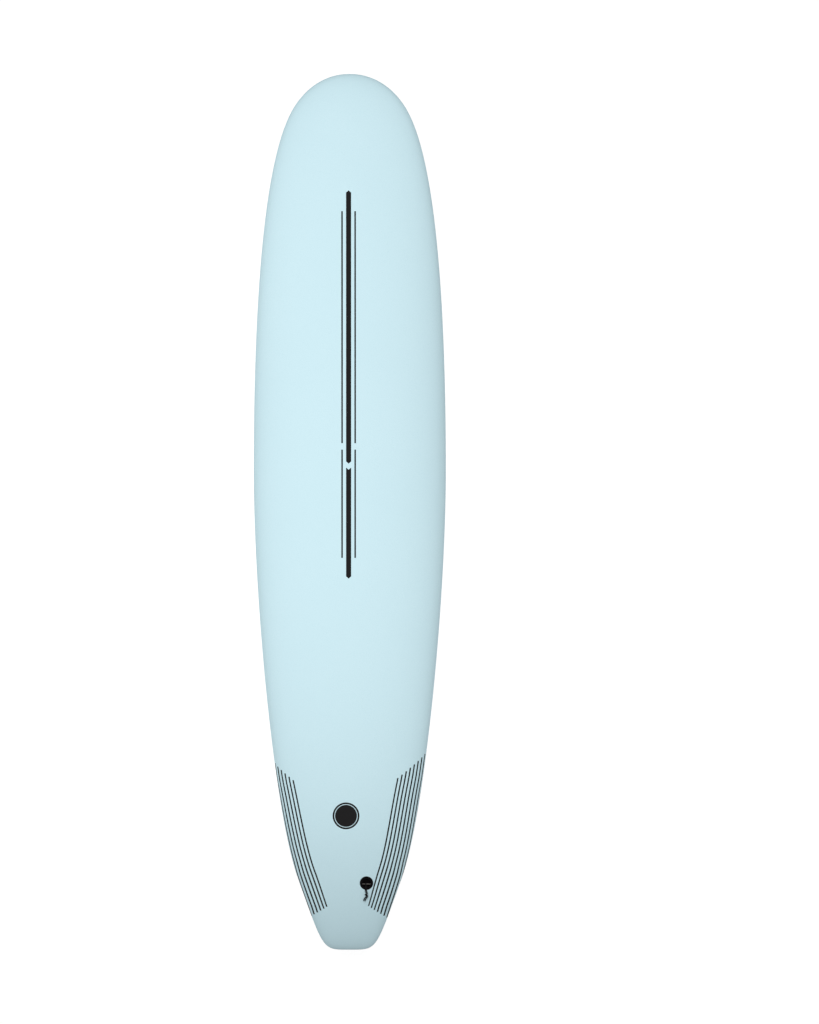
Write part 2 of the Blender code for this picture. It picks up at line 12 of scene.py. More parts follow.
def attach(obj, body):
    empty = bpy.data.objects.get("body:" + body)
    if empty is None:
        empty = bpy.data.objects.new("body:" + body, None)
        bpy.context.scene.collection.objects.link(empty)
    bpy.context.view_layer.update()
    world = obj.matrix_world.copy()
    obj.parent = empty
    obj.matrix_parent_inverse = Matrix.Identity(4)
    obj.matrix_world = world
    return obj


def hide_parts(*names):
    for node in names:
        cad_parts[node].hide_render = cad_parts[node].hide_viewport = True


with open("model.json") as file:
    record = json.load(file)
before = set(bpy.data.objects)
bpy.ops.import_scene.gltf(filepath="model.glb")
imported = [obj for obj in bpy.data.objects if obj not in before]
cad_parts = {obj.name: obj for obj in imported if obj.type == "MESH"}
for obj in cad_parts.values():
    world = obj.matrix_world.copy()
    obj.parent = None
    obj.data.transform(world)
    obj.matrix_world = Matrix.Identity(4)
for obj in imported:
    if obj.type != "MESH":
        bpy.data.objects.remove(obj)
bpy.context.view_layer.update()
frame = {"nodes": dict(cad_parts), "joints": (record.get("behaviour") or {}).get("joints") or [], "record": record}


# Foam blank: four planks of moulded bead foam, sawn lengthwise for the stringers and glued up.
# They lie under the skins, and show their pressed white beads, with painted shade in the grooves between them.
BEAD_WHITE, BEAD_GROOVE_SHADE = (0.86, 0.86, 0.84), (0.66, 0.66, 0.64)
BEAD_SIZE, SEAM_SHARE, SEAM_DEPTH = 0.0042, 0.12, 0.0004


def new_finish(name, colour, roughness, metallic=0.0):
    """A material of one plain colour, for the nodes that follow to work on."""
    finish = bpy.data.materials.new(name)
    finish.use_nodes = True
    shader = finish.node_tree.nodes["Principled BSDF"]
    shader.inputs["Base Color"].default_value = (*colour, 1.0)
    shader.inputs["Roughness"].default_value = roughness
    shader.inputs["Metallic"].default_value = metallic
    return finish


def feed(finish, socket, value):
    """Links one node's output to a socket, or sets the socket to a plain value."""
    if isinstance(value, bpy.types.NodeSocket):
        finish.node_tree.links.new(value, socket)
    else:
        socket.default_value = value


def add_node(finish, kind, inputs, **settings):
    made = finish.node_tree.nodes.new(kind)
    for name, value in settings.items():
        setattr(made, name, value)
    for key, value in inputs.items():
        feed(finish, made.inputs[key], value)
    return made


def maths(finish, operation, *values):
    inputs = dict(enumerate(values))
    return add_node(finish, "ShaderNodeMath", inputs, operation=operation).outputs[0]


def board_place(finish, scale=(1.0, 1.0, 1.0)):
    """The place on the board in metres, stretched for a pattern that runs one way."""
    place = add_node(finish, "ShaderNodeTexCoord", {}).outputs["Object"]
    mapping = add_node(finish, "ShaderNodeMapping", {"Vector": place, "Scale": scale})
    return mapping.outputs["Vector"]


def noise(finish, place, size, detail=2.0):
    inputs = {"Vector": place, "Scale": 1 / size, "Detail": detail}
    return add_node(finish, "ShaderNodeTexNoise", inputs).outputs["Fac"]


def blend_colours(finish, share, first, second):
    """From the first colour at 0 to the second at 1."""
    made = add_node(finish, "ShaderNodeMix", {"Factor": share}, data_type="RGBA")
    for socket, value in zip((made.inputs[6], made.inputs[7]), (first, second)):
        feed(finish, socket, value if isinstance(value, bpy.types.NodeSocket) else (*value, 1.0))
    return made.outputs[2]


def between(finish, value, low, high):
    """The value's place from low, as 0, to high, as 1."""
    inputs = {"Value": value, "From Min": low, "From Max": high}
    return add_node(finish, "ShaderNodeMapRange", inputs).outputs["Result"]


def paint(finish, colour):
    shader = finish.node_tree.nodes["Principled BSDF"]
    feed(finish, shader.inputs["Base Color"], colour)


def dull(finish, roughness):
    shader = finish.node_tree.nodes["Principled BSDF"]
    feed(finish, shader.inputs["Roughness"], roughness)


def emboss(finish, height, depth):
    """Raises the surface by a height from 0 to 1, times a depth in metres."""
    shader = finish.node_tree.nodes["Principled BSDF"]
    bump = add_node(finish, "ShaderNodeBump", {"Height": height, "Distance": depth})
    feed(finish, shader.inputs["Normal"], bump.outputs["Normal"])


def finish_nodes(finish, *names):
    """Gives the finish to the CAD's own pieces."""
    for name in names:
        frame["nodes"][name].material_slots[0].material = finish


bead_foam = new_finish("bead foam", BEAD_WHITE, 0.85)
beads = add_node(
    bead_foam,
    "ShaderNodeTexVoronoi",
    {"Vector": board_place(bead_foam), "Scale": 1 / BEAD_SIZE},
    feature="DISTANCE_TO_EDGE",
)
bead_tops = between(bead_foam, beads.outputs["Distance"], 0.0, SEAM_SHARE)
# The grooves between the beads are painted darker: painted shade.
paint(bead_foam, blend_colours(bead_foam, bead_tops, BEAD_GROOVE_SHADE, BEAD_WHITE))
emboss(bead_foam, bead_tops, SEAM_DEPTH)
finish_nodes(
    bead_foam,
    "core_plank_outer_left",
    "core_plank_inner_left",
    "core_plank_inner_right",
    "core_plank_outer_right",
)


# Stringers: three strips of thin birch plywood on edge, glued between the planks to stiffen
# them. Three plies run through each strip, with the grain of the outer two along the board.
STRINGER_SPACING = 0.095
HALF_MIDDLE_PLY = 0.0007
BIRCH = (0.62, 0.43, 0.24)
LONG_GRAIN_DARK, LONG_GRAIN_PALE = (0.42, 0.26, 0.12), (0.68, 0.49, 0.28)
END_GRAIN_DARK, END_GRAIN_PALE = (0.24, 0.13, 0.06), (0.36, 0.21, 0.10)
GRAIN_SIZE, GRAIN_DEPTH, ALONG_GRAIN = 0.0016, 0.0002, (1.0, 0.02, 1.0)

birch = new_finish("birch plywood", BIRCH, 0.6)
birch_place = board_place(birch)
birch_x = add_node(birch, "ShaderNodeSeparateXYZ", {"Vector": birch_place}).outputs["X"]
in_strip = maths(birch, "WRAP", birch_x, STRINGER_SPACING / 2, -STRINGER_SPACING / 2)
middle_ply = maths(birch, "COMPARE", in_strip, 0.0, HALF_MIDDLE_PLY)
grain = noise(birch, board_place(birch, ALONG_GRAIN), GRAIN_SIZE, 4.0)
grain_tone = between(birch, grain, 0.35, 0.68)
long_grain = blend_colours(birch, grain_tone, LONG_GRAIN_DARK, LONG_GRAIN_PALE)
end_grain = blend_colours(birch, grain_tone, END_GRAIN_DARK, END_GRAIN_PALE)
paint(birch, blend_colours(birch, middle_ply, long_grain, end_grain))
emboss(birch, grain, GRAIN_DEPTH)
finish_nodes(birch, "stringer_left", "stringer_centre", "stringer_right")


# Inserts: blocks of dense poured foam let into the blank, which hold the fin boxes and the leash
# plug. They are buff, with fine pores in painted shade, and are routed to take the boxes.
BUFF, PORE_SHADE = (0.74, 0.64, 0.42), (0.50, 0.41, 0.24)
POUR_DARK, POUR_PALE, POUR_CLOUD = (0.66, 0.55, 0.34), (0.80, 0.71, 0.49), 0.03
PORE_SIZE, PORE_DEPTH = 0.0011, 0.00025

dense_foam = new_finish("dense foam", BUFF, 0.72)
pores = add_node(
    dense_foam,
    "ShaderNodeTexVoronoi",
    {"Vector": board_place(dense_foam), "Scale": 1 / PORE_SIZE},
)
pore_walls = between(dense_foam, pores.outputs["Distance"], 0.05, 0.5)
pour_clouds = noise(dense_foam, board_place(dense_foam), POUR_CLOUD)
pour_tone = blend_colours(dense_foam, pour_clouds, POUR_DARK, POUR_PALE)
# The pores are painted darker than their walls: painted shade in their hollows.
paint(dense_foam, blend_colours(dense_foam, pore_walls, PORE_SHADE, pour_tone))
emboss(dense_foam, pore_walls, PORE_DEPTH)
finish_nodes(
    dense_foam,
    "fin_insert_left",
    "fin_insert_centre",
    "fin_insert_right",
    "leash_insert",
)


# Deck skin: one sheet of closed-cell foam, 5 mm thick, heat-laminated to the blank and wrapped
# round the rails to a seam on the bottom. Its skin has a fine pebble, with painted shade between
# the pebbles, and the ink lies on it.
HALF_LENGTH = 2.743 / 2
# Knots of the right rim in plan, nose tip to tail tip: half width, distance from the nose tip,
# degrees that the rim opens outward from straight aft, and the handle before and after the knot
RIM_KNOTS = (
    (0.0, 0.0, 90.0, 0.0, 0.089),
    (0.180, 0.113, 29.7, 0.0645, 0.195),
    (0.3015, 1.238, 0.0, 0.465, 0.401),
    (0.162, 2.522, -19.9, 0.226, 0.242),
    (0.0, 2.743, -90.0, 0.087, 0.0),
)
RIM_STEPS = (26, 30, 56, 36)
RIB_FAN, FAN_POWER, FAN_SWELL = 0.17, 6, 1.5
NOSE_ROCKER, TAIL_ROCKER, ROCKER_POWER = 0.114, 0.070, 2.3
BELLY_FLAT_FROM, BELLY_FLAT_TO = -0.25, 0.15
THICKNESS, NOSE_TIP_THICKNESS, TAIL_TIP_THICKNESS, FOIL_POWER = 0.086, 0.040, 0.034, 2.4
RAIL_APEX, DECK_CROWN, DECK_POWER = 0.38, 0.20, 5.5
BOTTOM_FLAT, BOTTOM_POWER = 0.5, 6.0
SEAM_INSET = 0.010
DECK_SKIN = 0.005
EVEN_SHARE = 0.8
EVEN_ROWS, SHOULDER_ROWS, TUCK_ROWS = 20, 24, 10
LIP_RADIUS = 0.0006
MICRON = 0.000001
MIRROR_MERGE, RIB_MERGE = 0.00001, 0.0000002

AQUA, AQUA_PEBBLE_SHADE = (0.625, 0.84, 0.905), (0.585, 0.80, 0.868)
CLOUD_DARK, CLOUD_PALE, FOAM_CLOUD = (0.627, 0.833, 0.897), (0.643, 0.847, 0.909), 0.25
FOAM_SHINE, FOAM_ROUGHNESS, INK_POLISH = 0.1, 0.52, 0.1
PEBBLE_SIZE, PEBBLE_DEPTH = 0.0016, 0.00012
INK = (0.0035, 0.0032, 0.0036)
STRIPE_X = -0.0035
STRIPE_HALF, LINE_X, LINE_HALF = 0.008, 0.0205, 0.0024
STRIPE_POINT = 1.15  # how fast the wide stripes narrow into their points
FORE_STRIPE, AFT_STRIPE = (0.1519, 1.0076), (-0.2084, 0.1329)
PAST_NOTCH = 0.2  # the aft stripe's fore end is a notch, so its point lies out here
FORE_LINE, AFT_LINE = (0.2160, 0.9425), (-0.1434, 0.1960)
# Pinstripes over the tail rails, for each side: where the innermost one starts and ends along the
# board, and its distance from the rail's apex along the surface, as a cubic curve's four values
PINSTRIPES = {
    -1: ((-0.8403, -1.2363), (0.0639, 0.0717, 0.0624, 0.0736)),
    1: ((-0.8334, -1.2344), (0.0917, 0.0990, 0.0800, 0.0911)),
}
PINSTRIPE_PITCH, PINSTRIPE_HALF, LAST_PINSTRIPE = 0.01145, 0.0023, 9
SPREAD_FROM, SPREAD = -1.10, 1.45  # aft of here the ribs fan out, and the pitch grows with them
STAGGER_FORE, STAGGER_AFT = 0.0266, 0.0152
PRINT_PAST_APEX = 0.006
ROUNDEL_AT, ROUNDEL_RADIUS, ROUNDEL_RING = (-0.0116, -0.9519), 0.042, (0.0345, 0.0365)
PLUG_MOUTH, PLUG_MOUTH_DEPTH = 0.0213, 0.024
PLUG_TO_RIM = 0.0175  # the plug's mount lies on its rim, this far to the right of its middle


def rim(steps_between):
    """Points of the right rim in plan, nose tip to tail tip."""
    points = [Vector((0.0, HALF_LENGTH, 0.0))]
    for near, far, steps in zip(RIM_KNOTS, RIM_KNOTS[1:], steps_between):
        ends, ways = [], []
        for half_width, from_nose, opening, _, _ in (near, far):
            angle = math.radians(opening)
            ends.append(Vector((half_width, HALF_LENGTH - from_nose, 0.0)))
            ways.append(Vector((math.sin(angle), -math.cos(angle), 0.0)))
        leaving = ends[0] + ways[0] * near[4]
        arriving = ends[1] - ways[1] * far[3]
        points += interpolate_bezier(ends[0], leaving, arriving, ends[1], steps + 1)[1:]
    return points


def spine_y(rim_y):
    """Where a rib leaves the centreline, nearer the middle than its end on the rim."""
    rim_y = math.copysign(min(abs(rim_y), HALF_LENGTH), rim_y)
    share = abs(rim_y) / HALF_LENGTH
    fan = RIB_FAN * share**FAN_POWER * (1 + FAN_SWELL * math.sqrt(1 - share))
    return rim_y - math.copysign(fan, rim_y)


def rocker(y):
    """How far the bottom has risen from its flat part."""
    if y > BELLY_FLAT_TO:
        share = (y - BELLY_FLAT_TO) / (HALF_LENGTH - BELLY_FLAT_TO)
        return NOSE_ROCKER * share**ROCKER_POWER
    if y < BELLY_FLAT_FROM:
        share = (BELLY_FLAT_FROM - y) / (BELLY_FLAT_FROM + HALF_LENGTH)
        return TAIL_ROCKER * share**ROCKER_POWER
    return 0.0


def thickness(y):
    """The board's thickness with its skins, full amidships and foiled to both tips."""
    tip = NOSE_TIP_THICKNESS if y > 0 else TAIL_TIP_THICKNESS
    return THICKNESS - (THICKNESS - tip) * (abs(y) / HALF_LENGTH) ** FOIL_POWER


def deck_point(start, edge, angle):
    """A point of the deck, from 0 on the centreline to a quarter turn at the rail's apex."""
    share = math.sin(angle) ** (2 / DECK_POWER)
    point = start.lerp(edge, share)
    rise = (1 - DECK_CROWN) * math.cos(angle) + DECK_CROWN * (1 - share**2)
    point.z = rocker(point.y) + thickness(point.y) * (RAIL_APEX + (1 - RAIL_APEX) * rise)
    return point


def bottom_point(start, edge, angle):
    """A point of the bottom, from 0 where it turns flat to a quarter turn at the rail's apex."""
    share = BOTTOM_FLAT + (1 - BOTTOM_FLAT) * math.sin(angle) ** (2 / BOTTOM_POWER)
    point = start.lerp(edge, share)
    point.z = rocker(point.y) + thickness(point.y) * RAIL_APEX * (1 - math.cos(angle))
    return point


def seam_angle(start, edge):
    """The bottom's angle at the seam, where the deck foam ends and the slick begins."""
    seam_share = 1 - SEAM_INSET / (edge - start).length
    return math.asin(((seam_share - BOTTOM_FLAT) / (1 - BOTTOM_FLAT)) ** (BOTTOM_POWER / 2))


def deck_rib(edge):
    """The deck's half section, centreline to seam."""
    start = Vector((0.0, spine_y(edge.y), 0.0))
    shoulder = math.asin(EVEN_SHARE ** (DECK_POWER / 2))
    quarter = math.pi / 2
    angles = [
        math.asin((EVEN_SHARE * row / EVEN_ROWS) ** (DECK_POWER / 2)) for row in range(EVEN_ROWS)
    ]
    angles += [
        shoulder + (quarter - shoulder) * row / SHOULDER_ROWS for row in range(SHOULDER_ROWS + 1)
    ]
    points = [deck_point(start, edge, angle) for angle in angles]
    seam = seam_angle(start, edge)
    for row in range(1, TUCK_ROWS + 1):
        points.append(bottom_point(start, edge, quarter + (seam - quarter) * row / TUCK_ROWS))
    return points


def new_piece(name, finish, body="board"):
    """The object just added, named, finished and riding on its body."""
    piece = bpy.context.object
    piece.name = name
    piece.data.name = name
    piece.data.materials.clear()
    piece.data.materials.append(finish)
    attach(piece, body)
    return piece


def skin_sheet(strips):
    """A sheet whose rows are the strips, tail to nose, flat where it meets its mirror image."""
    across = len(strips[0])
    bpy.ops.object.select_all(action="DESELECT")
    bpy.ops.mesh.primitive_grid_add(
        x_subdivisions=across - 1, y_subdivisions=len(strips) - 1, size=1.0
    )
    sheet = bpy.context.object
    for number, vertex in enumerate(sheet.data.vertices):
        vertex.co = strips[number // across][number % across]
        if abs(vertex.co.x) < MICRON:
            vertex.co.x = 0.0
    return sheet


def pick(piece):
    """Selects the piece alone, for the operators that follow."""
    bpy.ops.object.select_all(action="DESELECT")
    piece.select_set(True)
    bpy.context.view_layer.objects.active = piece


def open_with(piece, kind, chosen):
    """Opens the piece in edit mode, with what the test picks of its points, edges or faces."""
    pick(piece)
    bpy.ops.object.mode_set(mode="EDIT")
    bpy.ops.mesh.select_mode(type=kind)
    bpy.ops.mesh.select_all(action="DESELECT")
    shape = bmesh.from_edit_mesh(piece.data)
    for part in {"VERT": shape.verts, "EDGE": shape.edges, "FACE": shape.faces}[kind]:
        part.select_set(chosen(part))
    bmesh.update_edit_mesh(piece.data)


def cut_nose_cell(sheet, across):
    """Cuts the cell by the nose's middle rib, so that neither half lies in the mirror plane."""
    last_row = len(sheet.data.vertices) - across
    corners = (last_row, last_row - across + 1)
    open_with(sheet, "VERT", lambda vertex: vertex.index in corners)
    bpy.ops.mesh.vert_connect()
    bpy.ops.object.mode_set(mode="OBJECT")


def merge_rib_starts(sheet):
    """Merges the ribs that start from one point of the centreline."""
    bpy.ops.object.mode_set(mode="EDIT")
    bpy.ops.mesh.select_all(action="SELECT")
    bpy.ops.mesh.remove_doubles(threshold=RIB_MERGE)
    bpy.ops.object.mode_set(mode="OBJECT")


def apply_modifier(piece, kind, **settings):
    pick(piece)
    made = piece.modifiers.new(kind.lower(), kind)
    for name, value in settings.items():
        setattr(made, name, value)
    bpy.ops.object.modifier_apply(modifier=made.name)


def thicken(sheet, thickness):
    """Gives a sheet its thickness, inward, and rounds the outer edge of its lip."""
    outer_faces = len(sheet.data.polygons)

    def on_outer_lip(edge):
        sides = [face.index for face in edge.link_faces]
        return min(sides) < outer_faces and max(sides) >= 2 * outer_faces

    apply_modifier(sheet, "SOLIDIFY", thickness=thickness, offset=-1.0)
    open_with(sheet, "EDGE", on_outer_lip)
    bpy.ops.mesh.bevel(offset=LIP_RADIUS, segments=3, affect="EDGES")
    bpy.ops.object.mode_set(mode="OBJECT")


def cut_away(piece, *cutters, operation="DIFFERENCE", solver="EXACT"):
    """Cuts the cutters out of the piece, or joins them to it, and removes them."""
    for cutter in cutters:
        apply_modifier(piece, "BOOLEAN", object=cutter, operation=operation, solver=solver)
        bpy.data.objects.remove(cutter)


def smooth(piece, degrees=35):
    pick(piece)
    bpy.ops.object.shade_smooth_by_angle(angle=math.radians(degrees))


def shine(finish, level):
    """Sets how strongly the surface reflects, on the shader's own socket."""
    finish.node_tree.nodes["Principled BSDF"].inputs["Specular IOR Level"].default_value = level


def mounted(name):
    """A mount's place, with Z out of the board and Y to the nose."""
    mount = next(m for m in frame["record"]["mounts"] if m["name"] == name)
    outward = Vector(mount["axis"])
    fore = Vector((0.0, outward.z, -outward.y)).normalized() * math.copysign(1.0, outward.z)
    place = Matrix((fore.cross(outward), fore, outward)).transposed().to_4x4()
    place.translation = Vector(mount["pos_m"])
    return place


def within(finish, value, low, high):
    """1 where the value lies between two numbers, and 0 elsewhere."""
    return maths(finish, "COMPARE", value, (low + high) / 2, (high - low) / 2)


def pointed_stripe(finish, across, y, low, high):
    """The mask of a stripe that narrows to a point at both ends."""
    to_fore = maths(finish, "SUBTRACT", high, y)
    to_aft = maths(finish, "SUBTRACT", y, low)
    to_end = maths(finish, "MULTIPLY", maths(finish, "MINIMUM", to_fore, to_aft), STRIPE_POINT)
    return maths(finish, "LESS_THAN", across, maths(finish, "MINIMUM", to_end, STRIPE_HALF))


def either(finish, *masks):
    """1 where any of the masks is 1."""
    joined = masks[0]
    for mask in masks[1:]:
        joined = maths(finish, "MAXIMUM", joined, mask)
    return joined


deck_foam = new_finish("deck foam", AQUA, 0.5)
shine(deck_foam, FOAM_SHINE)
on_deck = board_place(deck_foam)
deck_xyz = add_node(deck_foam, "ShaderNodeSeparateXYZ", {"Vector": on_deck})
deck_y = deck_xyz.outputs["Y"]
from_middle = maths(deck_foam, "SUBTRACT", deck_xyz.outputs["X"], STRIPE_X)
across_deck = maths(deck_foam, "ABSOLUTE", from_middle)
fore_stripe = pointed_stripe(deck_foam, across_deck, deck_y, *FORE_STRIPE)
notch = maths(deck_foam, "MULTIPLY_ADD", across_deck, 1 / STRIPE_POINT, AFT_STRIPE[1])
notched = maths(deck_foam, "LESS_THAN", deck_y, notch)
aft_stripe = pointed_stripe(deck_foam, across_deck, deck_y, AFT_STRIPE[0], PAST_NOTCH)
aft_stripe = maths(deck_foam, "MULTIPLY", aft_stripe, notched)
on_line = maths(deck_foam, "COMPARE", across_deck, LINE_X, LINE_HALF)
lines_run = either(
    deck_foam,
    within(deck_foam, deck_y, *FORE_LINE),
    within(deck_foam, deck_y, *AFT_LINE),
)
thin_lines = maths(deck_foam, "MULTIPLY", on_line, lines_run)

stripe_uv = add_node(deck_foam, "ShaderNodeUVMap", {}, uv_map="pinstripes").outputs["UV"]
stripe_at = add_node(deck_foam, "ShaderNodeSeparateXYZ", {"Vector": stripe_uv})
stripe_number = maths(deck_foam, "ROUND", stripe_at.outputs["X"])
pinstripe = maths(
    deck_foam,
    "COMPARE",
    stripe_at.outputs["X"],
    stripe_number,
    PINSTRIPE_HALF / PINSTRIPE_PITCH,
)
counted = within(deck_foam, stripe_number, -0.5, LAST_PINSTRIPE + 0.5)
fore_end = maths(deck_foam, "MULTIPLY_ADD", stripe_number, STAGGER_FORE, 1.0)
aft_end = maths(deck_foam, "MULTIPLY", stripe_number, -STAGGER_AFT)
before_end = maths(deck_foam, "LESS_THAN", stripe_at.outputs["Y"], fore_end)
after_end = maths(deck_foam, "GREATER_THAN", stripe_at.outputs["Y"], aft_end)
past_apex = add_node(deck_foam, "ShaderNodeAttribute", {}, attribute_name="rail_arc")
on_top = maths(deck_foam, "GREATER_THAN", past_apex.outputs["Fac"], -PRINT_PAST_APEX)
for mask in (counted, before_end, after_end, on_top):
    pinstripe = maths(deck_foam, "MULTIPLY", pinstripe, mask)

flat_place = board_place(deck_foam, (1.0, 1.0, 0.0))
roundel_middle = (*ROUNDEL_AT, 0.0)
from_roundel = add_node(
    deck_foam, "ShaderNodeVectorMath", {0: flat_place, 1: roundel_middle}, operation="DISTANCE"
).outputs["Value"]
disc = maths(deck_foam, "LESS_THAN", from_roundel, ROUNDEL_RADIUS)
roundel = maths(deck_foam, "SUBTRACT", disc, within(deck_foam, from_roundel, *ROUNDEL_RING))

deck_ink = either(deck_foam, fore_stripe, aft_stripe, thin_lines, pinstripe, roundel)
pebbles = add_node(
    deck_foam,
    "ShaderNodeTexVoronoi",
    {"Vector": on_deck, "Scale": 1 / PEBBLE_SIZE},
    feature="SMOOTH_F1",
)
pebble_height = between(deck_foam, pebbles.outputs["Distance"], 0.75, 0.1)
clouds = between(deck_foam, noise(deck_foam, on_deck, FOAM_CLOUD), 0.3, 0.7)
foam_tone = blend_colours(deck_foam, clouds, CLOUD_DARK, CLOUD_PALE)
# Between the pebbles the foam is painted darker: painted shade in the crevices.
foam_colour = blend_colours(deck_foam, pebble_height, AQUA_PEBBLE_SHADE, foam_tone)
paint(deck_foam, blend_colours(deck_foam, deck_ink, foam_colour, INK))
dull(deck_foam, maths(deck_foam, "MULTIPLY_ADD", deck_ink, -INK_POLISH, FOAM_ROUGHNESS))
emboss(deck_foam, pebble_height, PEBBLE_DEPTH)


def curve_value(start, leaving, arriving, end, share):
    """A cubic curve's value, from its first control value at 0 to its last at 1."""
    back = 1.0 - share
    handles = leaving * back + arriving * share
    return start * back**3 + end * share**3 + 3 * share * back * handles


def runs_along(points):
    """How far each point is from the first one, along the line through them."""
    run = [0.0]
    for near, far in zip(points, points[1:]):
        run.append(run[-1] + (far - near).length)
    return run


rim_points = rim(RIM_STEPS)[::-1]
deck_ribs = [deck_rib(edge) for edge in rim_points]
deck_skin = skin_sheet(deck_ribs)
cut_nose_cell(deck_skin, len(deck_ribs[0]))
new_piece("deck_foam_sheet", deck_foam)
apex_row = EVEN_ROWS + SHOULDER_ROWS
rail_arcs = []
for points in deck_ribs:
    run = runs_along(points)
    rail_arcs += [run[apex_row] - along for along in run]
rail_arc = deck_skin.data.attributes.new("rail_arc", "FLOAT", "POINT")
rail_arc.data.foreach_set("value", rail_arcs)
merge_rib_starts(deck_skin)
apply_modifier(deck_skin, "MIRROR", merge_threshold=MIRROR_MERGE)
thicken(deck_skin, DECK_SKIN)
stripe_map = deck_skin.data.uv_layers[0]
stripe_map.name = "pinstripes"
rail_arc = deck_skin.data.attributes["rail_arc"]
for loop, corner in zip(deck_skin.data.loops, stripe_map.data):
    at = deck_skin.data.vertices[loop.vertex_index].co
    (fore_y, aft_y), arcs = PINSTRIPES[1 if at.x > 0 else -1]
    aft_share = (fore_y - at.y) / (fore_y - aft_y)
    innermost = curve_value(*arcs, min(max(aft_share, 0.0), 1.0))
    inward = rail_arc.data[loop.vertex_index].value
    pitch = PINSTRIPE_PITCH * (1 + SPREAD * max(0.0, SPREAD_FROM - at.y))
    corner.uv = ((innermost - inward) / pitch, 1 - aft_share)

plug_place = mounted("leash_plug_rim") @ Matrix.Translation((-PLUG_TO_RIM, 0.0, 0.0))
bpy.ops.object.select_all(action="DESELECT")
bpy.ops.mesh.primitive_cylinder_add(vertices=128, radius=PLUG_MOUTH, depth=PLUG_MOUTH_DEPTH)
plug_hole = bpy.context.object
plug_hole.data.transform(plug_place)
cut_away(deck_skin, plug_hole, solver="FAST")
smooth(deck_skin)
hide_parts("deck_skin")


# Slick: a sheet of white polyethylene, 3.5 mm thick, welded to the bottom inside the deck foam's
# edge. It is glossy, with a faint orange peel, and has one wide and two thin stripes in its ink.
SLICK_WHITE = (0.88, 0.88, 0.875)
SLICK_DARK, SLICK_PALE, SLICK_CLOUD = (0.87, 0.87, 0.867), (0.89, 0.89, 0.885), 0.3
SCUFF_SIZE, PEEL_SIZE, PEEL_DEPTH = 0.05, 0.006, 0.00008
BOTTOM_SKIN = 0.0035
SKIN_GAP = 0.0003
CURVED_ROWS, FLAT_ROWS = 16, 7
BOTTOM_STRIPE, BOTTOM_LINE = (0.1919, 1.0444), (0.2551, 0.9816)
BOX_SIZE, BOX_CORNER, MOUTH_DEPTH = (0.034, 0.144), 0.010, 0.02
TOE_IN = math.radians(1.45)

slick = new_finish("white slick", SLICK_WHITE, 0.24)
on_slick = board_place(slick)
slick_xyz = add_node(slick, "ShaderNodeSeparateXYZ", {"Vector": on_slick})
slick_y = slick_xyz.outputs["Y"]
across_slick = maths(slick, "ABSOLUTE", slick_xyz.outputs["X"])
bottom_stripe = pointed_stripe(slick, across_slick, slick_y, *BOTTOM_STRIPE)
bottom_lines = maths(
    slick,
    "MULTIPLY",
    maths(slick, "COMPARE", across_slick, LINE_X, LINE_HALF),
    within(slick, slick_y, *BOTTOM_LINE),
)
slick_ink = either(slick, bottom_stripe, bottom_lines)
slick_clouds = between(slick, noise(slick, on_slick, SLICK_CLOUD), 0.3, 0.7)
slick_tone = blend_colours(slick, slick_clouds, SLICK_DARK, SLICK_PALE)
paint(slick, blend_colours(slick, slick_ink, slick_tone, INK))
# The limits lie far outside the noise, so the roughness only wanders, from 0.22 to 0.44
dull(slick, between(slick, noise(slick, on_slick, SCUFF_SIZE), -1.0, 3.5))
emboss(slick, noise(slick, on_slick, PEEL_SIZE, 1.0), PEEL_DEPTH)


def block(size, centre, corner=0.0, segments=8):
    """A box whose upright edges are rounded."""

    def upright(edge):
        return abs(edge.verts[0].co.z - edge.verts[1].co.z) > size[2] / 2

    bpy.ops.object.select_all(action="DESELECT")
    bpy.ops.mesh.primitive_cube_add(size=1.0, location=centre, scale=size)
    bpy.ops.object.transform_apply()
    made = bpy.context.object
    if corner:
        open_with(made, "EDGE", upright)
        bpy.ops.mesh.bevel(offset=corner, segments=segments, affect="EDGES")
        bpy.ops.object.mode_set(mode="OBJECT")
    return made


def bottom_rib(edge):
    """The slick's half section, from the seam in to the centreline."""
    start = Vector((0.0, spine_y(edge.y), 0.0))
    tucked = math.sin(seam_angle(start, edge)) ** (2 / BOTTOM_POWER)
    points = []
    for row in range(CURVED_ROWS + 1):
        share = tucked * (1 - row / CURVED_ROWS)
        points.append(bottom_point(start, edge, math.asin(share ** (BOTTOM_POWER / 2))))
    for row in range(1, FLAT_ROWS + 1):
        point = start.lerp(edge, BOTTOM_FLAT * (1 - row / FLAT_ROWS))
        point.z = rocker(point.y)
        points.append(point)
    points[0] += (points[1] - points[0]).normalized() * SKIN_GAP
    return points


box_places = {
    "left": mounted("fin_seat_left") @ Matrix.Rotation(TOE_IN, 4, "Z"),
    "centre": mounted("fin_seat_centre"),
    "right": mounted("fin_seat_right") @ Matrix.Rotation(-TOE_IN, 4, "Z"),
}
bottom_skin = skin_sheet([bottom_rib(edge) for edge in rim_points])
new_piece("slick_sheet", slick)
merge_rib_starts(bottom_skin)
apply_modifier(bottom_skin, "MIRROR", merge_threshold=MIRROR_MERGE)
thicken(bottom_skin, BOTTOM_SKIN)
mouth_size = (BOX_SIZE[0] + 2 * SKIN_GAP, BOX_SIZE[1] + 2 * SKIN_GAP, MOUTH_DEPTH)
for box_place in box_places.values():
    mouth = block(mouth_size, (0.0, 0.0, 0.0), BOX_CORNER + SKIN_GAP)
    mouth.data.transform(box_place)
    cut_away(bottom_skin, mouth)
apply_modifier(bottom_skin, "WELD", merge_threshold=MICRON)
smooth(bottom_skin)
apply_modifier(bottom_skin, "WEIGHTED_NORMAL", keep_sharp=True)
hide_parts("bottom_skin")


